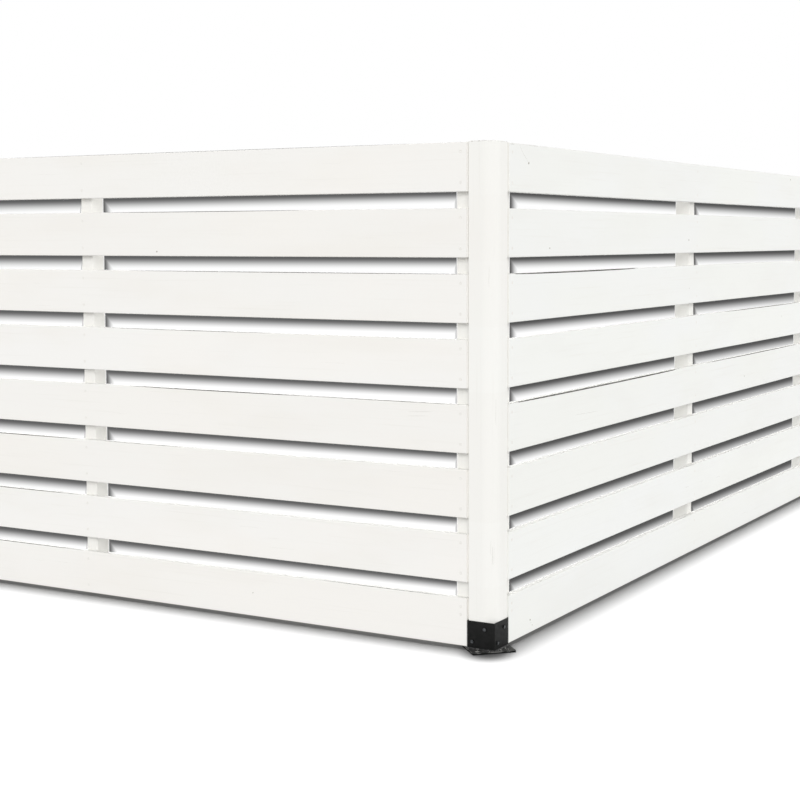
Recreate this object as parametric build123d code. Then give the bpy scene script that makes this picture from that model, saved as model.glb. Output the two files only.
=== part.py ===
from build123d import *
import os

os.makedirs("parts", exist_ok=True)

# Corner of a white slatted privacy fence: two panels meet at a right angle on a corner post.
# Millimetres. The origin is the middle of the corner post's base plate, on the ground, and +Z is up.
# The left panel runs along -X with its front towards -Y, the right panel along +Y with its front
# towards +X. Both are first laid out along +X with the front towards -Y, then turned into place.

# Slats: planed boards with eased long edges, numbered from the lowest
slat_count = 8
slat_height = 150
slat_thickness = 22
slat_gap = 50
slat_arris_radius = 2.5
slat_end_gap = 4
ground_gap = 10

# Stiles: upright battens behind the slats, one at each end of a panel and one between
bay_count = 2
left_bay = 1510
right_bay = 1645
stile_width = 50
stile_depth = 60
stile_arris_radius = 4
stile_set_back = 5

# Posts: the corner post has one broad rounded arris, towards the outer corner
post_width = 90
post_round_radius = 43
post_arris_radius = 4
post_top_ease = 3
post_rise = 3

# Post shoes: a square steel sleeve welded on a plate that is turned by an eighth of a turn
plate_width = 140
plate_thickness = 5
plate_corner_radius = 4
plate_turn = 45
sleeve_height = 87
sleeve_wall = 2.5
sleeve_play = 0.25
sleeve_bend_radius = 4
weld_leg = 3
anchor_hole = 12
anchor_circle = 144
anchor_count = 4
stile_foot_gap = 3

# Slat screws: two countersunk screws where a slat crosses a stile
slat_screw_length = 50
slat_screw_shank = 4.5
slat_screw_head = 9
slat_screw_point = 6
slat_screw_sink = 0.5
slat_screw_edge = 28
slat_screw_foot_shares = (0.2, 0.57)
slat_screw_drive = 3
slat_screw_drive_depth = 2

# Post screws: countersunk screws from an end stile into its post, in every second gap
post_screw_length = 80
post_screw_shank = 6
post_screw_head = 12
post_screw_point = 8
post_screw_sink = 1
post_screw_drive = 4
post_screw_drive_depth = 3
post_screw_step = 2

# Shoe screws: hexagon screws, a high one and a low one in each of the sleeve's two open faces
shoe_screw_length = 38
shoe_screw_shank = 6
shoe_screw_across_flats = 10
shoe_screw_head_height = 4
shoe_screw_point = 8
shoe_screw_rim_gap = 22
shoe_screw_high_offset = 14
shoe_screw_low = 28
shoe_screw_low_offset = -29

# The blunt end of every screw's point, the clearance round a screw, and how far a cut runs past
# the surface that it opens
screw_tip = 1
screw_play = 0.25
overrun = 2

# Places that follow from the sizes above
slat_pitch = slat_height + slat_gap
fence_top = ground_gap + slat_count * slat_pitch - slat_gap
sleeve_half = post_width / 2 + sleeve_play + sleeve_wall
sleeve_top = plate_thickness + sleeve_height
post_face = post_width / 2
post_top = fence_top + post_rise
slat_back = -sleeve_half + slat_thickness
stile_middle = slat_back + stile_depth / 2
end_stile_foot = sleeve_top + stile_foot_gap


def slat_bottom(number):
    """The lower edge of a slat, counted from 0 at the lowest."""
    return ground_gap + number * slat_pitch


def stile_places(bay):
    """Where the stiles of a panel stand along it; the first one butts against the corner post."""
    return [post_face + stile_width / 2 + k * bay for k in range(bay_count + 1)]


def far_post_place(bay):
    """The middle of a panel's far post, which the last stile butts against."""
    return stile_places(bay)[-1] + stile_width / 2 + post_width / 2


def slat_screw_heights(number, at_post):
    """The two screws of a slat on one stile; the lowest slat has less of an end stile behind it."""
    if at_post and number == 0:
        behind = slat_bottom(number) + slat_height - end_stile_foot
        return [end_stile_foot + share * behind for share in slat_screw_foot_shares]
    return [slat_bottom(number) + slat_screw_edge, slat_bottom(number) + slat_height - slat_screw_edge]


def slat_screw_places(bay, numbers):
    """Head places, on the slats' front face, of the screws in these slats, stile by stile."""
    places = []
    for k, along in enumerate(stile_places(bay)):
        at_post = k in (0, bay_count)
        heights = [z for n in numbers for z in slat_screw_heights(n, at_post)]
        places.append([Location((along, -sleeve_half, z), (90, 0, 0)) for z in heights])
    return places


def post_screw_places(bay, at_far_post):
    """Head places of the screws through an end stile into its post, in the gaps between slats."""
    gaps = range(0, slat_count - 1, post_screw_step)
    heights = [slat_bottom(n) + slat_height + slat_gap / 2 for n in gaps]
    if at_far_post:
        along = stile_places(bay)[-1] - stile_width / 2
        return [Location((along, stile_middle, z), (0, -90, 0)) for z in heights]
    along = stile_places(bay)[0] + stile_width / 2
    return [Location((along, stile_middle, z), (0, 90, 0)) for z in heights]


def shoe_screw_places(along):
    """Head places of the screws in the sleeve's front and outer faces, for a shoe standing at along."""
    high = sleeve_top - shoe_screw_rim_gap
    spots = [(shoe_screw_high_offset, high), (shoe_screw_low_offset, shoe_screw_low)]
    front = [Location((along + offset, -sleeve_half, z), (90, 0, 0)) for offset, z in spots]
    outer = [Location((along + sleeve_half, offset, z), (0, 90, 0)) for offset, z in spots]
    return front + outer


def countersunk_screw(length, shank, head, point, sink, drive, drive_depth):
    """A wood screw along -Z: the head's flat top lies sink below the origin, the point at -length."""
    cone = (head - shank) / 2
    top = -sink
    tip = -length
    outline = Polyline(
        (0, top), (head / 2, top), (shank / 2, top - cone), (shank / 2, tip + point),
        (screw_tip / 2, tip), (0, tip), (0, top)
    )
    body = revolve(Plane.XZ * make_face(outline), Axis.Z)
    recess = Pos(0, 0, top - drive_depth) * extrude(RegularPolygon(drive / 2, 6), drive_depth + overrun)
    return body - recess


def countersunk_hole(length, shank, head, point, sink):
    """The hole that clears a countersunk screw all round by the screw play, open at the surface."""
    cone = (head - shank) / 2
    wide = head / 2 + screw_play
    narrow = shank / 2 + screw_play
    tip = -length - screw_play
    outline = Polyline(
        (0, overrun), (wide, overrun), (wide, -sink), (narrow, -sink - cone), (narrow, tip + point),
        (screw_tip / 2 + screw_play, tip), (0, tip), (0, overrun)
    )
    return revolve(Plane.XZ * make_face(outline), Axis.Z)


def slat_screw():
    return countersunk_screw(
        slat_screw_length, slat_screw_shank, slat_screw_head, slat_screw_point, slat_screw_sink,
        slat_screw_drive, slat_screw_drive_depth
    )


def slat_screw_hole():
    return countersunk_hole(
        slat_screw_length, slat_screw_shank, slat_screw_head, slat_screw_point, slat_screw_sink
    )


def post_screw():
    return countersunk_screw(
        post_screw_length, post_screw_shank, post_screw_head, post_screw_point, post_screw_sink,
        post_screw_drive, post_screw_drive_depth
    )


def post_screw_hole():
    return countersunk_hole(
        post_screw_length, post_screw_shank, post_screw_head, post_screw_point, post_screw_sink
    )


def shoe_screw():
    """A hexagon wood screw along -Z, with the underside of its head at the origin."""
    radius = shoe_screw_across_flats / 3 ** 0.5
    head = extrude(RegularPolygon(radius, 6), shoe_screw_head_height)
    tip = -shoe_screw_length
    shank = shoe_screw_shank / 2
    outline = Polyline(
        (0, 0), (shank, 0), (shank, tip + shoe_screw_point), (screw_tip / 2, tip), (0, tip), (0, 0)
    )
    return head + revolve(Plane.XZ * make_face(outline), Axis.Z)


def shoe_screw_hole():
    """The hole that clears a shoe screw's shank and point all round by the screw play."""
    shank = shoe_screw_shank / 2 + screw_play
    tip = -shoe_screw_length - screw_play
    outline = Polyline(
        (0, overrun), (shank, overrun), (shank, tip + shoe_screw_point),
        (screw_tip / 2 + screw_play, tip), (0, tip), (0, overrun)
    )
    return revolve(Plane.XZ * make_face(outline), Axis.Z)


def drilled(body, hole, places):
    """The body with one copy of the hole cut at each place."""
    return body - [place * hole for place in places] if places else body


def make_slat(bay, number):
    """A slat of one panel, screwed to every stile, with a slit left to the post at either end."""
    start = post_face + slat_end_gap
    end = far_post_place(bay) - post_face - slat_end_gap
    board = Box(end - start, slat_thickness, slat_height)
    board = fillet(board.edges().filter_by(Axis.X), slat_arris_radius)
    middle = Pos((start + end) / 2, (slat_back - sleeve_half) / 2, slat_bottom(number) + slat_height / 2)
    places = [place for row in slat_screw_places(bay, [number]) for place in row]
    return drilled(middle * board, slat_screw_hole(), places)


def make_stile(bay, k):
    """A stile behind the slats; the two that butt against posts stand clear above the shoes."""
    at_post = k in (0, bay_count)
    low = end_stile_foot if at_post else ground_gap + stile_set_back
    section = fillet(Rectangle(stile_width, stile_depth).vertices(), stile_arris_radius)
    height = fence_top - stile_set_back - low
    batten = Pos(stile_places(bay)[k], stile_middle, low) * extrude(section, height)
    batten = drilled(batten, slat_screw_hole(), slat_screw_places(bay, range(slat_count))[k])
    if at_post:
        batten = drilled(batten, post_screw_hole(), post_screw_places(bay, k == bay_count))
    return batten


def make_post(outer_round):
    """A post that stands on the shoe's plate, its four arrises and its top edge eased."""
    outwards = Axis((0, 0, 0), (1, -1, 0))
    section = Rectangle(post_width, post_width)
    section = fillet(section.vertices().sort_by(outwards)[:-1], post_arris_radius)
    section = fillet(section.vertices().sort_by(outwards)[-1], outer_round)
    post = Pos(0, 0, plate_thickness) * extrude(section, post_top - plate_thickness)
    return chamfer(post.faces().sort_by(Axis.Z)[-1].edges(), post_top_ease)


def make_shoe():
    """A shoe at the origin: plate with anchor holes, bent sleeve with screw holes, and the weld."""
    square = fillet(Rectangle(plate_width, plate_width).vertices(), plate_corner_radius)
    plate = Rot(0, 0, plate_turn) * extrude(square, plate_thickness)
    outside = fillet(Rectangle(2 * sleeve_half, 2 * sleeve_half).vertices(), sleeve_bend_radius)
    sleeve = Pos(0, 0, plate_thickness) * extrude(outside, sleeve_height)
    foot = fillet(Rectangle(2 * (sleeve_half + weld_leg), 2 * (sleeve_half + weld_leg)).vertices(),
                  sleeve_bend_radius + weld_leg)
    weld = Pos(0, 0, plate_thickness) * extrude(foot, weld_leg, taper=45)
    hollow_half = sleeve_half - sleeve_wall
    inside = Rectangle(2 * hollow_half, 2 * hollow_half)
    inside = fillet(inside.vertices(), sleeve_bend_radius - sleeve_wall)
    hollow = Pos(0, 0, plate_thickness) * extrude(inside, sleeve_height + overrun)
    holes = PolarLocations(anchor_circle / 2, anchor_count)
    anchor = Pos(0, 0, -overrun) * extrude(Circle(anchor_hole / 2), plate_thickness + 2 * overrun)
    shoe = plate + sleeve + weld - hollow - [place * anchor for place in holes]
    return drilled(shoe, shoe_screw_hole(), shoe_screw_places(0))


def to_left(shape):
    """From the layout along +X to the left panel's place along -X."""
    return mirror(shape, Plane.YZ)


def to_right(shape):
    """From the layout along +X to the right panel's place along +Y."""
    return Rot(0, 0, 90) * shape


def group(shapes):
    """Several separate solids under one name."""
    return Compound(children=[solid for shape in shapes for solid in shape.solids()])


def panel_pieces(bay):
    """Every piece of one panel and its far post, laid out along +X, by name."""
    pieces = {}
    for n in range(slat_count):
        pieces[f"slat_{n + 1}"] = make_slat(bay, n)
    for k, name in enumerate(("corner", "middle", "far")):
        pieces[f"{name}_stile"] = make_stile(bay, k)
        spots = slat_screw_places(bay, range(slat_count))[k]
        pieces[f"{name}_slat_screws"] = group([place * slat_screw() for place in spots])
    for name, at_far_post in (("corner", False), ("far", True)):
        spots = post_screw_places(bay, at_far_post)
        pieces[f"{name}_post_screws"] = group([place * post_screw() for place in spots])
    far = Pos(far_post_place(bay), 0, 0)
    far_post = drilled(far * make_post(post_arris_radius), post_screw_hole(), post_screw_places(bay, True))
    shoe_spots = shoe_screw_places(far_post_place(bay))
    pieces["far_post"] = drilled(far_post, shoe_screw_hole(), shoe_spots)
    pieces["far_shoe"] = far * make_shoe()
    pieces["far_shoe_screws"] = group([place * shoe_screw() for place in shoe_spots])
    return pieces


def corner_pieces():
    """The corner post, which both panels are screwed to, with its shoe and the shoe's screws."""
    cuts = [to_left(place * post_screw_hole()) for place in post_screw_places(left_bay, False)]
    cuts += [to_right(place * post_screw_hole()) for place in post_screw_places(right_bay, False)]
    post = make_post(post_round_radius) - cuts
    return {
        "corner_post": drilled(post, shoe_screw_hole(), shoe_screw_places(0)),
        "corner_shoe": make_shoe(),
        "corner_shoe_screws": group([place * shoe_screw() for place in shoe_screw_places(0)]),
    }


parts = corner_pieces()
for name, piece in panel_pieces(left_bay).items():
    parts[f"left_{name}"] = group([to_left(piece)])
for name, piece in panel_pieces(right_bay).items():
    parts[f"right_{name}"] = group([to_right(piece)])

for name, piece in parts.items():
    export_step(piece, f"parts/{name}.step")
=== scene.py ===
"""The corner of a white slatted privacy fence, on a pale studio floor.

Metres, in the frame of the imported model: the origin is the middle of the corner post's base plate, on
the ground. The left panel runs along -X with its front towards -Y, the right panel along +Y with its
front towards +X, and slats are counted from the lowest.
"""
import math

import bpy
import numpy as np
from mathutils import Matrix, Vector


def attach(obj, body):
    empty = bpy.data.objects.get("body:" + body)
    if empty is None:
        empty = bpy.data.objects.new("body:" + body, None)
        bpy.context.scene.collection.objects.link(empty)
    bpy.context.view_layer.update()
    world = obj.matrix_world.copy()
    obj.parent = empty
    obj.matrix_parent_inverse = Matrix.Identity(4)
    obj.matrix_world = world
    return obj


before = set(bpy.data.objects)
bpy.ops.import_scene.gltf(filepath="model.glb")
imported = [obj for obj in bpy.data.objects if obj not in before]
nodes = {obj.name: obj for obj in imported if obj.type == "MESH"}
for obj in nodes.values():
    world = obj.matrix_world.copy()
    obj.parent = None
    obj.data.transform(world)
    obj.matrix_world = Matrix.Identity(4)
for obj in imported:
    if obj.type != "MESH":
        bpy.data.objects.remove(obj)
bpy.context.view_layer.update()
MM = 0.001

# Sizes of the fence that the finishes and the new pieces follow. FRONT and STILE_FRONT say how far the
# fronts of the slats and stiles lie from the posts' middles, and SLAT_END how far the slats stop short of
# them. Slat screws sit SCREW_EDGE inside a slat's edges, and above a shoe at the heights LOWEST_SCREWS.
# SLEEVE_RIM is a sleeve's height, PLATE_REACH a base plate's half diagonal, and ANCHOR_OUT the way from
# its middle to a hole.
GROUND_GAP = 10 * MM
SLAT_HEIGHT = 150 * MM
SLAT_PITCH = 200 * MM
SLAT_COUNT = 8
SLAT_ARRIS = 2.5 * MM
SLAT_END = 49 * MM
FRONT = 47.75 * MM
STILE_FRONT = 25.75 * MM
POST_HALF = 45 * MM
LEFT_POST = (-3160 * MM, 0.0, 0.0)
CORNER_POST = (0.0, 0.0, 0.0)
RIGHT_POST = (0.0, 3430 * MM, 0.0)
SHOES = {"corner": CORNER_POST, "left_far": LEFT_POST, "right_far": RIGHT_POST}
STILES = {"left": (-70 * MM, -1580 * MM, -3090 * MM), "right": (70 * MM, 1715 * MM, 3360 * MM)}
SCREW_EDGE = 28 * MM
LOWEST_SCREWS = (108 * MM, 132.5 * MM)
SLEEVE_HALF = 47.75 * MM
SLEEVE_RIM = 94 * MM
SLEEVE_BEND = 4 * MM
PLATE_TOP = 5 * MM
PLATE_REACH = 99 * MM
ANCHOR_OUT = 72 * MM
ANCHOR_RADIUS = 6 * MM


# Nodes and colours


def linear(code):
    """An sRGB hex colour as linear red, green, blue and an alpha of one."""
    shares = [int(code[i:i + 2], 16) / 255 for i in (1, 3, 5)]
    return (*[s / 12.92 if s <= 0.04045 else ((s + 0.055) / 1.055) ** 2.4 for s in shares], 1.0)


def add(tree, kind, inputs=(), **settings):
    """Adds one node of a kind, with its inputs and settings, and gives it back.

    The inputs are named or in order. Each is a value, an output, or another node, which stands for the
    first of its outputs in use.
    """
    node = tree.nodes.new(f"ShaderNode{kind}")
    for name, value in settings.items():
        setattr(node, name, value)
    for place, value in inputs.items() if isinstance(inputs, dict) else enumerate(inputs):
        if isinstance(value, bpy.types.Node):
            value = next(output for output in value.outputs if output.enabled)
        if isinstance(value, bpy.types.NodeSocket):
            tree.links.new(value, node.inputs[place])
        else:
            node.inputs[place].default_value = value
    return node


# Settings of the Map Range nodes, which turn the span of their first two numbers smoothly into that of the
# next two or into 0 to 1, and of the Mix nodes, which go from input 6 at a share of 0 to input 7 at 1
SMOOTH = {"interpolation_type": "SMOOTHSTEP"}
COLOUR = {"data_type": "RGBA"}


def new_material(name):
    """An empty node material and its tree."""
    material = bpy.data.materials.new(name)
    material.use_nodes = True
    material.node_tree.nodes.clear()
    return material, material.node_tree


def pattern(tree, place, axis, along, across, detail=2.0, roughness=0.5):
    """Cloudy noise from zero to one, whose features are that many metres along an axis and across it."""
    scale = [1 / across] * 3
    scale["XYZ".index(axis)] = 1 / along
    stretched = add(tree, "Mapping", {"Vector": place, "Scale": scale})
    return add(tree, "TexNoise", {"Vector": stretched, "Scale": 1.0, "Detail": detail,
                                  "Roughness": roughness})


# Finishes


def painted_pine(name, axis, body, shade, cool, top_shade):
    """White opaque paint, brushed on planed pine whose grain runs along the axis.

    The eye sees a matt, slightly warm white, a little different from board to board, with broad clouds
    of warmer and cooler white, faint long streaks where the grain lifts the paint, and a soft sheen. The
    colours are the body's, a shade darker and cooler one, and a greyer one for the upper edges, a painted
    shade.
    """
    cloud_share, board_share, grain_share, edge_share = 0.5, 0.3, 0.35, 0.1
    material, tree = new_material(name)
    place = add(tree, "TexCoord").outputs["Object"]
    height = add(tree, "SeparateXYZ", (place,)).outputs["Z"]
    board = add(tree, "Math", (height, SLAT_PITCH), operation="DIVIDE")
    board = add(tree, "Math", (board,), operation="FLOOR")
    chance = add(tree, "TexWhiteNoise", {"W": board}, noise_dimensions="1D")
    clouds = pattern(tree, place, axis, along=550 * MM, across=160 * MM, detail=3.0)
    warmth = pattern(tree, place, axis, along=900 * MM, across=350 * MM)
    # real grain lines are 1 to 3 mm apart; they are drawn about 7 mm wide so that the render shows them
    grain = pattern(tree, place, axis, along=450 * MM, across=7 * MM, detail=3.0, roughness=0.6)
    pores = pattern(tree, place, axis, along=60 * MM, across=2.5 * MM, roughness=0.6)
    warmth = add(tree, "MapRange", (warmth, 0.38, 0.62), **SMOOTH)
    white = add(tree, "Mix", {0: warmth, 6: linear(body), 7: linear(cool)}, **COLOUR)
    clouds = add(tree, "MapRange", (clouds, 0.45, 0.75, 0.0, cloud_share), **SMOOTH)
    white = add(tree, "Mix", {0: clouds, 6: white, 7: linear(shade)}, **COLOUR)
    chance = add(tree, "Math", (chance, board_share), operation="MULTIPLY")
    white = add(tree, "Mix", {0: chance, 6: white, 7: linear(shade)}, **COLOUR)
    # the boards' narrow edges, which look up and down, show much fainter grain than their faces, and the
    # upper ones are painted a little greyer, a painted shade
    normal = add(tree, "NewGeometry").outputs["Normal"]
    upwards = add(tree, "SeparateXYZ", (normal,)).outputs["Z"]
    level = add(tree, "Math", (upwards,), operation="ABSOLUTE")
    on_face = add(tree, "MapRange", (level, 0.1, 0.6, 1.0, edge_share), **SMOOTH)
    streaks = add(tree, "MapRange", (grain, 0.55, 0.8, 0.0, grain_share), **SMOOTH)
    streaks = add(tree, "Math", (streaks, on_face), operation="MULTIPLY")
    white = add(tree, "Mix", {0: streaks, 6: white, 7: linear("#E9E7E1")}, **COLOUR)
    top_tone = add(tree, "MapRange", (upwards, 0.2, 0.8), **SMOOTH)
    white = add(tree, "Mix", {0: top_tone, 6: white, 7: linear(top_shade)}, **COLOUR)
    lines = add(tree, "Math", (grain, 0.5), operation="SUBTRACT")
    pits = add(tree, "Math", (pores, 0.15), operation="MULTIPLY")
    relief = add(tree, "Math", (lines, pits), operation="ADD")
    relief = add(tree, "Math", (relief, on_face), operation="MULTIPLY")
    bump = add(tree, "Bump", {"Strength": 0.5, "Distance": 0.2 * MM, "Height": relief})
    sheen = add(tree, "MapRange", (grain, 0.3, 0.7, 0.5, 0.62), **SMOOTH)
    shader = add(tree, "BsdfPrincipled", {"Base Color": white, "Roughness": sheen, "IOR": 1.5,
                                          "Specular IOR Level": 0.3, "Normal": bump})
    add(tree, "OutputMaterial", {"Surface": shader})
    return material


def blotched(name, first, second, size, roughness, metal=0.0, relief=0.1 * MM, edge=(0.38, 0.64)):
    """A small part's finish: two tones in soft blots of that size, with a slightly uneven surface.

    The edge gives the span of the blots' noise over which the first tone turns into the second. The
    roughness varies with the blots too, from the one given upwards.
    """
    material, tree = new_material(name)
    place = add(tree, "TexCoord").outputs["Object"]
    blots = pattern(tree, place, "Z", along=size, across=size, detail=3.0, roughness=0.6)
    share = add(tree, "MapRange", (blots, *edge), **SMOOTH)
    colour = add(tree, "Mix", {0: share, 6: linear(first), 7: linear(second)}, **COLOUR)
    bump = add(tree, "Bump", {"Strength": 0.5, "Distance": relief, "Height": blots})
    sheen = add(tree, "MapRange", (blots, 0.3, 0.7, roughness, roughness + 0.15), **SMOOTH)
    shader = add(tree, "BsdfPrincipled", {"Base Color": colour, "Metallic": metal, "Roughness": sheen,
                                          "IOR": 1.5, "Specular IOR Level": 0.3, "Normal": bump})
    add(tree, "OutputMaterial", {"Surface": shader})
    return material


def coated_steel(name, centre):
    """Black powder-coated sheet steel: near black, satin, with fine orange peel.

    The eye also sees a light line along the base plate's rim and round its anchor holes, bare rubbed steel
    and partly a painted glint, and a paler grey in patches on the plate's top.
    """
    material, tree = new_material(name)
    place = add(tree, "TexCoord").outputs["Object"]
    place = add(tree, "Mapping", {"Vector": place, "Location": [-c for c in centre]})
    parts = add(tree, "SeparateXYZ", (place,)).outputs
    x, y, z = [add(tree, "Math", (parts[k],), operation="ABSOLUTE") for k in "XYZ"]
    peel = pattern(tree, place, "Z", along=2 * MM, across=2 * MM)
    patches = pattern(tree, place, "Z", along=20 * MM, across=20 * MM, detail=3.0, roughness=0.6)
    # the light line along the plate's rim and the rings round its holes: bare rubbed steel, and partly a
    # painted glint
    reach = add(tree, "Math", (x, y), operation="ADD")
    rim = add(tree, "MapRange", (reach, PLATE_REACH - 2.5 * MM, PLATE_REACH - 0.5 * MM), **SMOOTH)
    upper = add(tree, "MapRange", (z, PLATE_TOP - 1.6 * MM, PLATE_TOP - 0.8 * MM), **SMOOTH)
    rim = add(tree, "Math", (rim, upper), operation="MULTIPLY")
    level = add(tree, "CombineXYZ", (x, y))
    holes = [add(tree, "VectorMath", (level, spot), operation="DISTANCE")
             for spot in ((ANCHOR_OUT, 0, 0), (0, ANCHOR_OUT, 0))]
    hole = add(tree, "Math", holes, operation="MINIMUM")
    inner, outer = ANCHOR_RADIUS + 0.8 * MM, ANCHOR_RADIUS + 2 * MM
    ring = add(tree, "MapRange", (hole, inner, outer, 1.0, 0.0), **SMOOTH)
    low = add(tree, "MapRange", (z, PLATE_TOP + 0.5 * MM, PLATE_TOP + 1.5 * MM, 1.0, 0.0), **SMOOTH)
    glint_and_wear = add(tree, "Math", (rim, ring), operation="MAXIMUM")
    glint_and_wear = add(tree, "Math", (glint_and_wear, low), operation="MULTIPLY")
    glint_and_wear_patches = add(tree, "MapRange", (patches, 0.45, 0.6), **SMOOTH)
    glint_and_wear = add(tree, "Math", (glint_and_wear, glint_and_wear_patches), operation="MULTIPLY")
    # a paler grey in patches on the plate's top
    top = add(tree, "MapRange", (z, PLATE_TOP - 0.6 * MM, PLATE_TOP - 0.1 * MM), **SMOOTH)
    top = add(tree, "Math", (low, top), operation="MULTIPLY")
    paler_top_patches = add(tree, "MapRange", (patches, 0.3, 0.7, 0.5, 0.75), **SMOOTH)
    top_tone = add(tree, "Math", (top, paler_top_patches), operation="MULTIPLY")
    black_patches = add(tree, "MapRange", (patches, 0.35, 0.7), **SMOOTH)
    black = add(tree, "Mix", {0: black_patches, 6: linear("#0D0E0D"), 7: linear("#181818")}, **COLOUR)
    black = add(tree, "Mix", {0: top_tone, 6: black, 7: linear("#424241")}, **COLOUR)
    black = add(tree, "Mix", {0: glint_and_wear, 6: black, 7: linear("#8A8986")}, **COLOUR)
    bump = add(tree, "Bump", {"Strength": 0.3, "Distance": 0.1 * MM, "Height": peel})
    sheen = add(tree, "MapRange", (patches, 0.3, 0.7, 0.42, 0.6), **SMOOTH)
    shader = add(tree, "BsdfPrincipled", {"Base Color": black, "Roughness": sheen,
                                          "Specular IOR Level": 0.12, "Normal": bump})
    add(tree, "OutputMaterial", {"Surface": shader})
    return material


# One white paint on all the wood, in copies whose colours are painted for the light on each part: the right
# panel's white is a touch darker and cooler than the left's, and the stiles' is darker, a painted shade for
# their place behind the slats. The last colour of each is the painted shade on the upper edges.
boards_left = painted_pine("white_painted_pine_left", "X", "#F6F4F0", "#F0EDE7", "#F5F4F1", "#E7E6E2")
boards_right = painted_pine("white_painted_pine_right", "Y", "#F4F5F1", "#EFEFEB", "#F4F5F3", "#E3E2DE")
post_paint = painted_pine("white_painted_pine_post", "Z", "#F5F4F0", "#F0EEE9", "#F4F4F0", "#E7E6E2")
stile_paint = painted_pine("white_painted_pine_stile", "Z", "#EEEDE9", "#E9E7E2", "#EEEEEA", "#E3E2DE")

# Paint lies thicker and smoother on the screws' heads. Marks in it show the dulled grey-brown of bare
# pine, and some slats' top arrises carry thin dark grey lines. Zinc plating gives the shoes' screws a cool,
# dull metal shine. The welds and their spatter are black and uneven, with pale grey blots that are
# painted glints, drawn as bare steel showing through the coat.
screw_paint = blotched("painted_screw_head", "#EEECE7", "#E2E0DA", 3 * MM, 0.5)
screw_zinc = blotched("zinc_plated_screw", "#36383A", "#5E6062", 4 * MM, 0.35, metal=1.0)
paint_film = blotched("paint_over_screw", "#F1EFEB", "#E9E7E1", 4 * MM, 0.5)
knot_wood = blotched("knot_in_paint", "#B4B0A6", "#9C978C", 4 * MM, 0.6)
crack_shade = blotched("crack_in_paint", "#B9B5AD", "#A29E95", 10 * MM, 0.7)
arris_grey = blotched("dark_grey_arris", "#3B3936", "#5A5752", 20 * MM, 0.7)
check_shade = blotched("grain_check_in_paint", "#DAD8D2", "#CBC8C0", 20 * MM, 0.7)
# the pale grey blots of the welds and the spatter are painted glints
weld_steel = blotched(
    "black_coated_weld", "#131313", "#4A4A49", 6 * MM, 0.35, relief=0.3 * MM, edge=(0.45, 0.64))
spatter_steel = blotched(
    "weld_spatter", "#4A4A48", "#A5A49F", 4 * MM, 0.3, relief=0.2 * MM, edge=(0.42, 0.6))
shoe_steel = {
    "corner_shoe": coated_steel("black_coated_steel_corner", CORNER_POST),
    "left_far_shoe": coated_steel("black_coated_steel_left", LEFT_POST),
    "right_far_shoe": coated_steel("black_coated_steel_right", RIGHT_POST),
}


def finish_for(name):
    """The material of a CAD node, by the words in its name."""
    if name in shoe_steel:
        return shoe_steel[name]
    if name.endswith("shoe_screws"):
        return screw_zinc
    if name.endswith("screws"):
        return screw_paint
    if "_slat_" in name:
        return boards_left if name.startswith("left") else boards_right
    return stile_paint if name.endswith("stile") else post_paint


for name, piece in nodes.items():
    for place in piece.material_slots:
        place.material = finish_for(name)


# New pieces


def new_mesh(name, points, faces, material):
    """An object at the origin from a list of points and faces, with one material."""
    mesh = bpy.data.meshes.new(name)
    mesh.from_pydata(points, [], faces)
    mesh.materials.append(material)
    made = bpy.data.objects.new(name, mesh)
    bpy.context.scene.collection.objects.link(made)
    return made


def fan_volume(points, faces):
    """Six times the volume between faces and the origin: above zero in all when they look outwards.

    Each face is cut into a fan of triangles from its first corner, and a triangle's share is its first
    corner times the cross product of the other two.
    """
    corners = points[faces]
    return np.sum(corners[:, :1] * np.cross(corners[:, 1:-1], corners[:, 2:]))


def fence_piece(name, shells, material, smooth=True):
    """One piece from closed shells, each an array of rings by points by three and whether it is a loop.

    Each ring is joined to the next with square faces. The last ring is joined to the first where the
    shell is a loop, and both are closed with one flat face each where it isn't.
    """
    points, faces = [], []
    for rings, loop in shells:
        count, around = rings.shape[:2]
        index = np.arange(count * around).reshape(count, around)
        here, there = (index, np.roll(index, -1, 0)) if loop else (index[:-1], index[1:])
        skins = [np.stack([here, np.roll(here, -1, 1), np.roll(there, -1, 1), there], -1).reshape(-1, 4)]
        if not loop:
            skins.append(np.stack([index[0, ::-1], index[-1]]))
        flat = rings.reshape(-1, 3)
        if sum(fan_volume(flat - flat.mean(0), skin) for skin in skins) < 0:
            skins = [skin[:, ::-1] for skin in skins]
        faces += [face for skin in skins for face in (skin + len(points)).tolist()]
        points += flat.tolist()
    made = new_mesh(name, points, faces, material)
    made.data.polygons.foreach_set("use_smooth", [smooth] * len(made.data.polygons))
    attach(made, "root")
    return made


def on_side(side, along, height, out=0.0):
    """Points on the front of a panel: along it from the corner post's middle, up, and proud of it."""
    level = (along, -FRONT - out) if side == "left" else (FRONT + out, along)
    return np.stack(np.broadcast_arrays(*level, height), -1)


OUT = {"left": np.array((0.0, -1.0, 0.0)), "right": np.array((1.0, 0.0, 0.0))}
UP = np.array((0.0, 0.0, 1.0))


def round_mark(centre, out, profile, around=14, wobble=0.0, stretch=1.0, rng=None):
    """A round mark's rings: the profile lists radius and height from the rim to the middle, millimetres.

    Each ring is a circle square to the outward direction, raised by its height. The stretch makes it
    longer along the board than across it, and the wobble uneven: at an angle a it grows by wobble times
    the sines of 2 a and 3 a, each from a start by chance.
    """
    turn = np.linspace(0, 2 * np.pi, around, endpoint=False)
    uneven = 1 + 0 * turn
    if rng:
        for waves in (2, 3):
            uneven = uneven + wobble * np.sin(waves * turn + rng.uniform(0, 6))
    level = np.cross(UP, out)
    circle = (np.cos(turn) * stretch * uneven)[:, None] * level + (np.sin(turn) * uneven)[:, None] * UP
    radius, height = np.array(profile).T[..., None, None] * MM
    return centre + radius * circle + height * out, False


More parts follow.
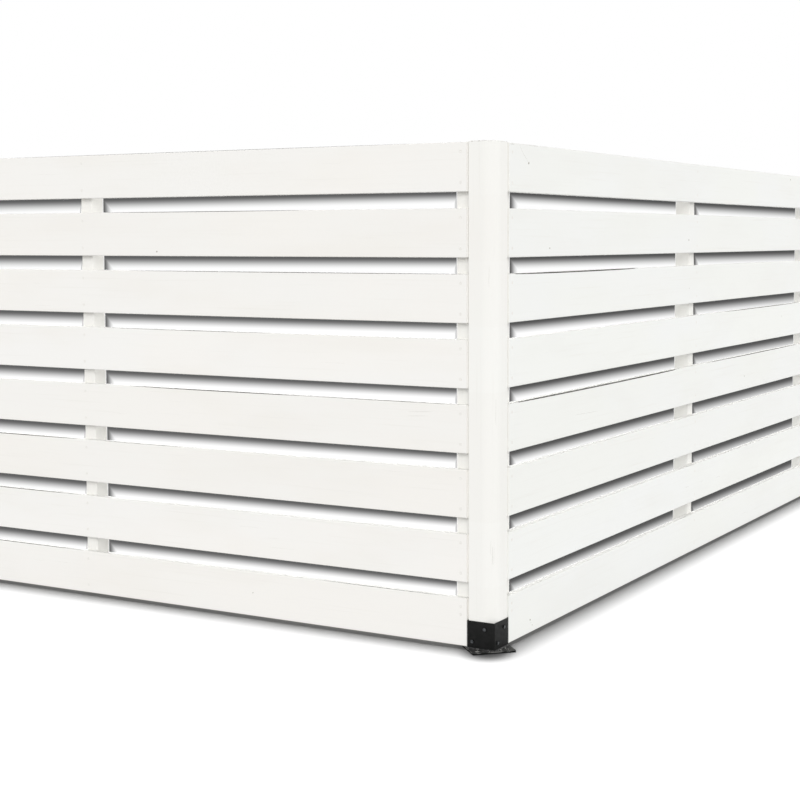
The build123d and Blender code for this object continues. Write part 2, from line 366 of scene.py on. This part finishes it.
def thin_crack(corners, out, width, rise=0.12, bend=0.0, steps=9):
    """A thin crack's rings along its corners: a low ridge, widest midway, that runs out at both ends.

    At a share t of its length it is width times the root of sin(pi t) wide, and its line swings by bend
    times sin(2 pi t) to one side. Its foot lies inside the wood. Width, rise and bend are in millimetres.
    """
    t = np.linspace(0, 1, steps)
    corners = np.array(corners)
    at = np.linspace(0, 1, len(corners))
    line = np.stack([np.interp(t, at, corners[:, k]) for k in range(3)], 1)
    whole = corners[-1] - corners[0]
    side = np.cross(out, whole / np.linalg.norm(whole))
    line = line + (bend * MM * np.sin(2 * np.pi * t))[:, None] * side
    half = (width * MM / 2 * np.sqrt(np.clip(np.sin(np.pi * t), 0.02, 1)))[:, None]
    sunk = line - 0.3 * MM * out
    return np.stack([sunk - half * side, sunk + half * side, line + rise * MM * out], 1), False


# The paint that closes over each slat screw's head: a low rim and a shallow hollow over the drive
film_profile = ((5.2, -0.3), (5.2, 0.03), (4.7, 0.14), (3.7, 0.08), (2.2, -0.12), (1.2, -0.35))
films = []
for side, stiles in STILES.items():
    for stile, along in enumerate(stiles):
        for slat in range(SLAT_COUNT):
            low = GROUND_GAP + slat * SLAT_PITCH
            heights = (low + SCREW_EDGE, low + SLAT_HEIGHT - SCREW_EDGE)
            if slat == 0 and stile != 1:
                heights = LOWEST_SCREWS
            films += [round_mark(on_side(side, along, height), OUT[side], film_profile)
                      for height in heights]
fence_piece("paint_over_screws", films, paint_film)

# Pin knots that show through the paint, where the photograph has its small dark dots, and a few more:
# the panel, the place along it, the height and the radius, millimetres
rng = np.random.default_rng(4)
knot_profile = ((1.0, -0.4), (1.0, 0.02), (0.75, 0.14), (0.25, 0.18))
knots = [("right", 183.1, 1502.5, 3.6), ("right", 338.9, 1236.3, 2.6), ("right", 1620.2, 1261.1, 3.4),
         ("right", 1630.5, 1070.4, 1.6), ("right", 2974.0, 1539.9, 3.4), ("left", -1248.4, 1225.1, 2.6),
         ("right", 201.2, 50.8, 3.0), ("right", 215.6, 31.1, 1.8), ("right", 206.0, 41.0, 1.2),
         ("left", -2240.0, 905.0, 2.4), ("left", -2705.0, 312.0, 2.8), ("left", -2010.0, 1470.0, 2.0),
         ("right", 2330.0, 668.0, 2.6), ("right", 2865.0, 905.0, 2.0), ("left", -860.0, 88.0, 1.6)]
fence_piece("pin_knots", [
    round_mark(on_side(side, along * MM, height * MM), OUT[side],
               [(radius * share, rise) for share, rise in knot_profile],
               around=12, wobble=0.12, stretch=1.15, rng=rng)
    for side, along, height, radius in knots], knot_wood)

# The crack that runs down from the top edge of the right panel's top slat to its knot
crack_line = [(116.0, 1559.0), (131.3, 1540.5), (146.0, 1530.0), (158.8, 1520.1), (182.0, 1503.5)]
fence_piece("right_slat_8_crack", [
    thin_crack([on_side("right", along * MM, height * MM) for along, height in crack_line], OUT["right"],
               width=2.4, steps=17)], crack_shade)

# Small chips along that slat's top edge: a blunt one at its end and a long faint one
chips = [((53.0, 1555.6), (85.0, 1556.4), 4.5), ((176.0, 1557.4), (252.0, 1558.0), 1.8)]
fence_piece("right_slat_8_chips", [
    thin_crack([on_side("right", along * MM, height * MM) for along, height in ends], OUT["right"], width)
    for *ends, width in chips], crack_shade)


def arris_line(side, slat, start, end, width, around=5, steps=25):
    """A line's rings along a slat's top front arris, from start to end along its panel.

    In cross-section the line goes up the slat's face and over its rounded arris, a tenth of a millimetre
    proud, and comes back inside the wood. A point's way is measured from the arris's foot, above zero
    round it and below zero down the face. The line's width runs out at both ends, as the fourth root of
    sin(pi t) at a share t of its length.
    """
    top = GROUND_GAP + (slat - 1) * SLAT_PITCH + SLAT_HEIGHT
    bow = math.pi / 2 * SLAT_ARRIS
    t = np.linspace(0, 1, steps)[:, None]
    share = np.maximum(np.sin(np.pi * t), 0.002) ** 0.25
    place = np.append(np.linspace(0, 1, around), (1.0, 0.0))
    reach = SLAT_ARRIS + np.append(np.full(around, 0.1 * MM), np.full(2, -0.4 * MM))
    way = bow - width * share * (1 - place)
    angle = np.maximum(way, 0.0) / SLAT_ARRIS
    height = top - SLAT_ARRIS + reach * np.sin(angle) + np.minimum(way, 0.0)
    return on_side(side, start + (end - start) * t, height, reach * np.cos(angle) - SLAT_ARRIS), False


# Thin dark lines along the top front arris of some slats: the panel, the slat, where the line starts and
# ends along the panel, and its width, millimetres
arris_lines = [
    ("right", 4, 60, 1530, 6.2), ("right", 6, 55, 1100, 5.8), ("right", 4, 1850, 3130, 3.6),
    ("right", 5, 2050, 3130, 3.4), ("left", 8, -250, -1950, 2.2), ("left", 7, -640, -1470, 3.2),
    ("left", 6, -60, -1370, 3.1), ("left", 5, -780, -1490, 2.8), ("left", 4, -75, -700, 2.4),
    ("left", 4, -640, -1380, 3.7), ("left", 3, -1150, -1500, 2.1), ("left", 3, -1609, -2300, 3.6),
    ("left", 2, -1609, -2300, 3.1), ("left", 1, -1609, -2300, 2.8), ("left", 1, -150, -600, 1.9)]
fence_piece("slat_arris_lines", [
    arris_line(side, slat, start * MM, end * MM, width * MM)
    for side, slat, start, end, width in arris_lines], arris_grey)

# Fine checks along the grain where the photograph shows them: the panel, both ends' places along it and
# heights, and the width, millimetres
check_rise = 0.08
seen_checks = [
    ("left", (-256.5, 728.6), (-169.7, 733.1), 2.3), ("left", (-256.9, 715.6), (-185.2, 719.4), 1.8),
    ("right", (548.0, 676.0), (738.8, 669.8), 2.3), ("right", (1594.0, 282.0), (1656.0, 276.0), 2.0),
    ("right", (1785.0, 279.0), (1820.0, 277.0), 2.4), ("right", (1975.0, 271.0), (2020.0, 269.0), 2.4)]
fence_piece("seen_grain_checks", [
    thin_crack([on_side(side, along * MM, height * MM) for along, height in ends],
               OUT[side], width, check_rise)
    for side, *ends, width in seen_checks], crack_shade)

# and fainter ones, three on every slat, anywhere along it
checks = []
for side, direction in (("left", -1), ("right", 1)):
    for slat in range(SLAT_COUNT):
        for _ in range(3):
            along = direction * rng.uniform(150, 3250)
            height = GROUND_GAP / MM + slat * SLAT_PITCH / MM + rng.uniform(12, 138)
            checks.append((side, along, along + direction * rng.uniform(30, 120), height))
fence_piece("grain_checks", [
    thin_crack([on_side(side, start * MM, height * MM), on_side(side, end * MM, height * MM)], OUT[side],
               rng.uniform(0.8, 1.3), check_rise, rng.uniform(-0.6, 0.6))
    for side, start, end, height in checks], check_shade)

# Upright scratches and short checks on the corner post's round arris, most about 300 mm up: the angle
# round the arris from +X, the lower and the upper end, and the width, millimetres
post_round, post_round_middle = 43 * MM, np.array((2 * MM, -2 * MM, 0.0))
marks = []
for angle, low, high, width in ((45, 272, 330, 1.5), (43, 268, 312, 0.9), (38, 266, 350, 0.8),
                                (52, 300, 345, 0.7), (30, 700, 780, 0.7), (60, 1120, 1190, 0.7)):
    out = np.array((math.cos(math.radians(angle)), -math.sin(math.radians(angle)), 0.0))
    foot = post_round_middle + post_round * out
    marks.append(thin_crack([foot + low * MM * UP, foot + high * MM * UP], out, width, rise=0.1, bend=0.3))

# and two small chips along its top edge: where they start and end, and the width, millimetres
for start, end, width in ((-10.5, -4.5, 3.0), (-36.0, -28.0, 1.8)):
    marks.append(thin_crack([(start * MM, -POST_HALF, 1561 * MM), (end * MM, -POST_HALF, 1560.6 * MM)],
                            OUT["left"], width))
fence_piece("corner_post_checks", marks, crack_shade)


def joint_filler(side, post, way, slat, deepest=5.7 * MM, proud=0.3 * MM, lap=0.3 * MM, margin=1.5 * MM):
    """The filler between a slat's end and a post, painted over: rings of its outline from above.

    It lies a little proud of the post at the highest slat and deeper towards the ground, by deepest times
    the cube of the share of the way down to the lowest slat. It laps into the wood on both sides and ends
    a margin inside the slat's edges, and in a shoe just inside its rim.
    """
    low = GROUND_GAP + slat * SLAT_PITCH
    heights = np.linspace(max(low + margin, SLEEVE_RIM), low + SLAT_HEIGHT - margin, 4)[:, None]
    front = POST_HALF + proud - deepest * (1 - slat / (SLAT_COUNT - 1)) ** 3
    along, out = np.array([(POST_HALF - lap, front), ((POST_HALF + SLAT_END) / 2, front - 0.3 * MM),
                           (SLAT_END + lap, front + 0.2 * MM), (SLAT_END + lap, STILE_FRONT),
                           (POST_HALF - lap, STILE_FRONT)]).T
    return on_side(side, post + way * along, heights, out - FRONT), False


# The panel, the post's place along it and the way from the post to the slats
fence_piece("painted_joints", [
    joint_filler(side, post, way, slat)
    for side, post, way in (("left", 0.0, -1), ("left", LEFT_POST[0], 1),
                            ("right", RIGHT_POST[1], -1), ("right", 0.0, 1))
    for slat in range(SLAT_COUNT)], paint_film, smooth=False)


def weld_bead(centre, leg=4.2 * MM, pitch=5 * MM, depth=0.09, step=0.9 * MM):
    """The weld that runs round a sleeve's foot: a closed loop of rings along the sleeve's outline.

    The outline is a square with rounded corners. Each ring is a quarter of a circle of the leg's size
    between plate and sleeve, closed behind through the sheet. Its size swells and shrinks by the depth,
    as the cosine of the way along over the pitch, which lags towards the ring's middle, so that the
    ripples bow like a real bead's. Real ripples are 2 mm apart; they are drawn wider so that they show.
    """
    sunk, tucked, lag = 0.8 * MM, 0.8 * leg, 1.6
    straight = 2 * (SLEEVE_HALF - SLEEVE_BEND)
    quarter = math.pi / 2 * SLEEVE_BEND
    count = 4 * round((straight + quarter) / step)
    way = np.linspace(0, 4 * (straight + quarter), count, endpoint=False)
    side = np.floor(way / (straight + quarter))
    rest = way - side * (straight + quarter)
    angle = side * math.pi / 2 + np.clip((rest - straight) / SLEEVE_BEND, 0, math.pi / 2)
    corner = side * math.pi / 2
    run = np.clip(rest, 0, straight) - straight / 2
    out = np.stack([np.sin(angle), -np.cos(angle), 0 * angle], 1)
    middle = np.stack([np.sin(corner), -np.cos(corner), 0 * corner], 1) * (SLEEVE_HALF - SLEEVE_BEND)
    forward = np.stack([np.cos(corner), np.sin(corner), 0 * corner], 1)
    foot = (middle + run[:, None] * forward + SLEEVE_BEND * out)[:, None]
    out = out[:, None]
    bow = np.linspace(0, math.pi / 2, 7)
    reach = leg * (1 + depth * np.cos(2 * np.pi * way[:, None] / pitch - lag * np.sin(2 * bow)))
    bead = foot + (reach * np.cos(bow))[..., None] * out + (reach * np.sin(bow))[..., None] * UP
    behind = foot - sunk * out + tucked * UP
    below = foot - sunk * out - sunk * UP
    under = foot + tucked * out - sunk * UP
    return np.concatenate([bead, behind, below, under], 1) + np.array(centre) + PLATE_TOP * UP, True


def weld_spatter(centre, rng, count=30):
    """Small round balls of weld metal that stuck on the plate's top near the sleeve's foot.

    Half of them are small and lie anywhere round the sleeve. The others are larger and lie near its outer
    corner, most on its +X side. The middles of all keep 5 mm off the sleeve and off the plate's rim. A ball
    is a stack of level circles: the profile gives their radii and heights, as shares of its own radius,
    which is in millimetres.
    """
    balls = []
    profile = np.array(((1.0, -0.3), (1.0, 0.3), (0.8, 0.7), (0.45, 0.92), (0.15, 1.0)))
    share, rise = profile.T[..., None, None]
    turn = np.linspace(0, 2 * np.pi, 8, endpoint=False)
    circle = np.stack([np.cos(turn), np.sin(turn), 0 * turn], 1)
    for number in range(count):
        radius = rng.uniform(0.8, 1.6) if number % 2 else rng.uniform(1.2, 2.8)
        angle = rng.uniform(0, 2 * math.pi) if number % 2 else rng.normal(-0.4, 0.4)
        spread = SLEEVE_HALF + rng.uniform(5, 16) * MM
        largest = max(abs(math.cos(angle)), abs(math.sin(angle)))
        spot = np.array((math.cos(angle), math.sin(angle))) * spread / largest
        if abs(spot).sum() > PLATE_REACH - 7 * MM:
            continue
        middle = np.array(centre) + np.array((*spot, PLATE_TOP))
        balls.append((middle + radius * MM * (share * circle + rise * UP), False))
    return balls


for name, centre in SHOES.items():
    fence_piece(f"{name}_shoe_weld", [weld_bead(centre)], weld_steel)
    fence_piece(f"{name}_shoe_spatter", weld_spatter(centre, rng), spatter_steel)


# Stage, light and camera


def studio_sheet(name, start, along, up, material, hidden_from=()):
    """A flat rectangle from its first corner and two edges, which some kinds of rays don't meet."""
    start, along, up = map(np.array, (start, along, up))
    points = np.array([start, start + along, start + up, start + along + up]).tolist()
    made = new_mesh(name, points, [(0, 1, 3, 2)], material)
    for ray in hidden_from:
        setattr(made, f"visible_{ray}", False)
    return made


def group_of(name, objects):
    """A collection that only light linking uses."""
    group = bpy.data.collections.new(name)
    for piece in objects:
        group.objects.link(piece)
    return group


def linked(lamp, lit, shading):
    """The lamp lights the pieces of one group only, in the shadow of the other group only."""
    lamp.light_linking.receiver_collection = lit
    lamp.light_linking.blocker_collection = shading


def sun(name, azimuth, elevation, strength, width):
    """A sun whose light comes from that compass angle, 0 from -Y and 90 from +X; angles are in degrees."""
    a, e = math.radians(azimuth), math.radians(elevation)
    back = Vector((math.sin(a) * math.cos(e), -math.cos(a) * math.cos(e), math.sin(e)))
    data = bpy.data.lights.new(name, "SUN")
    data.energy = strength
    data.angle = math.radians(width)
    lamp = bpy.data.objects.new(name, data)
    lamp.matrix_world = back.to_track_quat("Z", "Y").to_matrix().to_4x4()
    bpy.context.scene.collection.objects.link(lamp)
    return lamp


def seen_ray(tree):
    """One for a ray that shows a surface to the eye: straight, in a gloss or through glass."""
    ray = add(tree, "LightPath").outputs
    seen = add(tree, "Math", (ray["Is Camera Ray"], ray["Is Glossy Ray"]), operation="MAXIMUM")
    return add(tree, "Math", (seen, ray["Is Transmission Ray"]), operation="MAXIMUM")


def matt_floor(name, code, glow):
    """A matt studio floor that its own lamp lights to white; its soft even light back is a painted glow."""
    material, tree = new_material(name)
    matt = add(tree, "BsdfDiffuse", {"Color": linear(code)})
    # for all rays but the eye's, the floor is a painted glow, not lit paint
    even = add(tree, "Emission", {"Strength": glow})
    mixed = add(tree, "MixShader", (seen_ray(tree), even, matt))
    add(tree, "OutputMaterial", {"Surface": mixed})
    return material


def painted_gap_shadow(name, axis, dark, fade, fade_low, band, clear, sides):
    """A painted shadow in a panel's gaps: a grey sheet, dark under each slat and clear lower down.

    It lets through a share of the light that is dark at first and rises smoothly with the drop below the
    slat, over the fade. The fade grows by FADE_ALONG for each metre along the panel and by fade_low for
    each metre down from a metre up. Below SHADOW_LEVEL the dark part above it is deeper too, by the share
    band of the way down. Each of the sides gives where the painted shadow is also dark beside an upright,
    which way it opens, over what width and from what share; no shadow is painted in the spans that clear
    lists.
    """
    material, tree = new_material(name)
    place = add(tree, "TexCoord").outputs["Object"]
    parts = add(tree, "SeparateXYZ", (place,)).outputs
    along = add(tree, "Math", (parts[axis],), operation="ABSOLUTE")
    above = add(tree, "Math", (parts["Z"], GROUND_GAP + SHADOW_LAP), operation="SUBTRACT")
    above = add(tree, "Math", (above, SLAT_PITCH), operation="MODULO")
    drop = add(tree, "Math", (SLAT_PITCH, above), operation="SUBTRACT")
    deeper = add(tree, "Math", (SHADOW_LEVEL, parts["Z"]), operation="SUBTRACT")
    deeper = add(tree, "Math", (deeper, band), operation="MULTIPLY")
    deeper = add(tree, "Math", (deeper, 0.0), operation="MAXIMUM")
    length = add(tree, "Math", (along, FADE_ALONG * fade, fade), operation="MULTIPLY_ADD")
    longer = add(tree, "Math", (parts["Z"], -fade_low, 1 + fade_low), operation="MULTIPLY_ADD")
    length = add(tree, "Math", (length, longer), operation="MULTIPLY")
    share = add(tree, "Math", (drop, deeper), operation="SUBTRACT")
    share = add(tree, "Math", (share, length), operation="DIVIDE")
    share = add(tree, "MapRange", (share, FADE_START, 1.0, dark, 1.0), **SMOOTH)
    for begin, way, width, level in sides:
        off = add(tree, "Math", (along, begin), operation="SUBTRACT")
        off = add(tree, "Math", (off, float(way)), operation="MULTIPLY")
        beside = add(tree, "MapRange", (off, 0.0, width, level, 1.0), **SMOOTH)
        behind = add(tree, "Math", (off, 0.0), operation="LESS_THAN")
        beside = add(tree, "Math", (beside, behind), operation="MAXIMUM")
        share = add(tree, "Math", (share, beside), operation="MINIMUM")
    covered = add(tree, "Math", (drop, SLAT_PITCH - SLAT_HEIGHT + SHADOW_LAP), operation="GREATER_THAN")
    share = add(tree, "Math", (share, covered), operation="MAXIMUM")
    for first, last in clear:
        after = add(tree, "Math", (along, first), operation="GREATER_THAN")
        before = add(tree, "Math", (along, last), operation="LESS_THAN")
        inside = add(tree, "Math", (after, before), operation="MULTIPLY")
        share = add(tree, "Math", (share, inside), operation="MAXIMUM")
    # the grey sheet lets this share through: a painted shadow
    grey = add(tree, "CombineColor", (share, share, share))
    net = add(tree, "BsdfTransparent", {"Color": grey})
    add(tree, "OutputMaterial", {"Surface": net})
    return material


def finish_flag(tree, share):
    """Ends a flag's material: it lets no light through at a share of zero and all of it at one."""
    black = add(tree, "BsdfDiffuse", {"Color": (0, 0, 0, 1)})
    clear = add(tree, "BsdfTransparent")
    mixed = add(tree, "MixShader", (share, black, clear))
    add(tree, "OutputMaterial", {"Surface": mixed})


def strip_flag(name, axis, full, clear):
    """A net that lets no light through at full, under a panel, and all of it at clear, behind the panel."""
    material, tree = new_material(name)
    place = add(tree, "TexCoord").outputs["Object"]
    across = add(tree, "SeparateXYZ", (place,)).outputs[axis]
    finish_flag(tree, add(tree, "MapRange", (across, full, clear), **SMOOTH))
    return material


def soft_flag(name, centre):
    """A net that lets no light through in its middle and more and more of it towards its oval rim.

    The oval lies OVAL_AHEAD of the base plate's middle, where the floor's lamp throws the shade, and a
    point's reach is its distance from the oval's middle in shares of its half axes. No light passes up to
    the first of OVAL_FADE's reaches, and all of it from the second on.
    """
    material, tree = new_material(name)
    place = add(tree, "TexCoord").outputs["Object"]
    turned = math.radians(OVAL_TURN)
    axes = ((math.cos(turned), math.sin(turned), 0), (math.sin(turned), -math.cos(turned), 0))
    shares = []
    for axis, shift, half in zip(axes, (0.0, OVAL_AHEAD), OVAL_HALVES):
        way = add(tree, "VectorMath", (place, axis), operation="DOT_PRODUCT")
        way = add(tree, "Math", (way, float(np.dot(axis, centre)) + shift), operation="SUBTRACT")
        shares.append(add(tree, "Math", (way, half), operation="DIVIDE"))
    spot = add(tree, "CombineXYZ", shares)
    reach = add(tree, "VectorMath", (spot,), operation="LENGTH")
    finish_flag(tree, add(tree, "MapRange", (reach, *OVAL_FADE), **SMOOTH))
    return material


fence = [piece for piece in bpy.context.scene.objects if piece.type == "MESH"]

floor = studio_sheet("studio_floor", (-40, -40, -1 * MM), (80, 0, 0), (0, 80, 0),
                     matt_floor("studio_floor_grey", "#909090", glow=0.48))

# A painted shadow hangs in each panel's gaps: a grey sheet just behind the slats, which lies inside the
# battens where it meets them. Only camera rays see it, so it shades nothing. Its places along the panel
# are in metres.
SHADOW_LAP = 2 * MM
SHADOW_BACK = 25.5 * MM
SHADOW_LEVEL = 1250 * MM
FADE_ALONG = 0.17
FADE_START = 0.12
GAPS_FOOT = GROUND_GAP + SLAT_HEIGHT
GAPS_RISE = (0, 0, SLAT_COUNT * SLAT_PITCH - SLAT_PITCH - SLAT_HEIGHT)
UNMET_BY_GAP_SHADES = ("shadow", "diffuse", "glossy", "transmission")
left_gap_shade = studio_sheet(
    "studio_gap_shade_sheet_left", (-3.065, -SHADOW_BACK, GAPS_FOOT), (2.97, 0, 0), GAPS_RISE,
    painted_gap_shadow("painted_shade_in_left_gaps", "X", dark=0.115, fade=38.5 * MM, fade_low=0.0, band=0.0053,
            clear=((1.5023, 1.559), (2.991, 3.069)),
            sides=((1.5023, -1, 0.044, 0.12), (2.991, -1, 0.05, 0.12),
                   (0.095, 1, 0.01, 0.5), (1.605, 1, 0.008, 0.5))), UNMET_BY_GAP_SHADES)
right_gap_shade = studio_sheet(
    "studio_gap_shade_sheet_right", (SHADOW_BACK, 0.095, GAPS_FOOT), (0, 3.24, 0), GAPS_RISE,
    painted_gap_shadow("painted_shade_in_right_gaps", "Y", dark=0.09, fade=43.5 * MM, fade_low=0.27, band=0.0102,
            clear=((1.5316, 1.694), (3.1324, 3.339)),
            sides=((0.095, 1, 0.062, 0.1), (1.74, 1, 0.07, 0.1))), UNMET_BY_GAP_SHADES)

# Unseen flags keep the floor lamp off the floor under the panels, and softly off the floor behind them
FLAG_LEVEL = 30 * MM
FLAG_FULL = 12 * MM
FLAG_CLEAR = 85 * MM
UNMET_BY_FLAGS = ("camera", "diffuse", "glossy", "transmission")
flags = [
    studio_sheet("studio_flag_left", (-3.11, -0.03, FLAG_LEVEL), (3.06, 0, 0), (0, 0.12, 0),
                 strip_flag("studio_flag_left_net", "Y", -FLAG_FULL, FLAG_CLEAR), UNMET_BY_FLAGS),
    studio_sheet("studio_flag_right", (-0.09, 0.05, FLAG_LEVEL), (0.12, 0, 0), (0, 3.33, 0),
                 strip_flag("studio_flag_right_net", "X", FLAG_FULL, -FLAG_CLEAR), UNMET_BY_FLAGS),
]

# and one that is soft at its rim lies under each base plate, for the plate's shadow
OVAL_TURN = 27
OVAL_AHEAD = 45 * MM
OVAL_HALVES = (96 * MM, 130 * MM)
OVAL_FADE = (0.3, 1.1)
for name, centre in SHOES.items():
    corner = np.array(centre) + np.array((-0.25, -0.25, -0.5 * MM))
    flags.append(studio_sheet(f"studio_flag_{name}", corner, (0.5, 0, 0), (0, 0.5, 0),
                              soft_flag(f"studio_flag_{name}_net", centre), UNMET_BY_FLAGS))

# The camera, fitted to the photograph's edges: its yaw, tilt and roll are in degrees
CAMERA_PLACE = (2.19601, -4.22316, 1.26805)
CAMERA_YAW, CAMERA_TILT, CAMERA_ROLL = 29.2446, 4.1644, 0.0934
camera_data = bpy.data.cameras.new("camera")
camera_data.lens = 70.109
camera_data.sensor_width = 36
camera_data.shift_x = -0.05
camera_data.shift_y = -0.06
camera_data.clip_end = 200
camera = bpy.data.objects.new("camera", camera_data)
bpy.context.scene.collection.objects.link(camera)
camera.matrix_world = (
    Matrix.Translation(CAMERA_PLACE)
    @ Matrix.Rotation(math.radians(CAMERA_YAW), 4, "Z")
    @ Matrix.Rotation(math.radians(90 - CAMERA_TILT), 4, "X")
    @ Matrix.Rotation(math.radians(-CAMERA_ROLL), 4, "Z")
)
bpy.context.scene.camera = camera

# A white surround for the eye, and a soft grey light that falls off from the horizon upwards
WHITE = (1, 1, 1, 1)
LIGHT_LEVEL, LIGHT_TOP = 0.6, 0.4
world = bpy.data.worlds.new("studio")
world.use_nodes = True
tree = world.node_tree
tree.nodes.clear()
direction = add(tree, "TexCoord").outputs["Generated"]
height = add(tree, "SeparateXYZ", (direction,)).outputs["Z"]
strength = add(tree, "MapRange", (height, 0.0, 1.0, LIGHT_LEVEL, LIGHT_TOP))
soft = add(tree, "Background", {"Color": WHITE, "Strength": strength})
surround = add(tree, "Background", {"Color": WHITE, "Strength": 1.0})
sky = add(tree, "MixShader", (seen_ray(tree), soft, surround))
add(tree, "OutputWorld", {"Surface": sky})
bpy.context.scene.world = world

# Four soft suns light the fence alone: azimuth, elevation and strength. The floor has one of its own.
SOFT_SUNS = {"front": (35, 25, 1.42), "front_left": (-30, 22, 0.62),
             "front_right": (120, 22, 0.98), "back": (225, 22, 1.3)}
fence_group = group_of("fence_group", fence)
floor_group = group_of("floor_group", [floor])
floor_shading = group_of("floor_shading", [*fence, *flags])
for name, (azimuth, elevation, strength) in SOFT_SUNS.items():
    linked(sun(f"{name}_soft", azimuth, elevation, strength, width=40), fence_group, fence_group)
linked(sun("floor_light", 225, 87.5, 10.4, width=4.8), floor_group, floor_shading)

bpy.context.scene.view_settings.view_transform = "Standard"
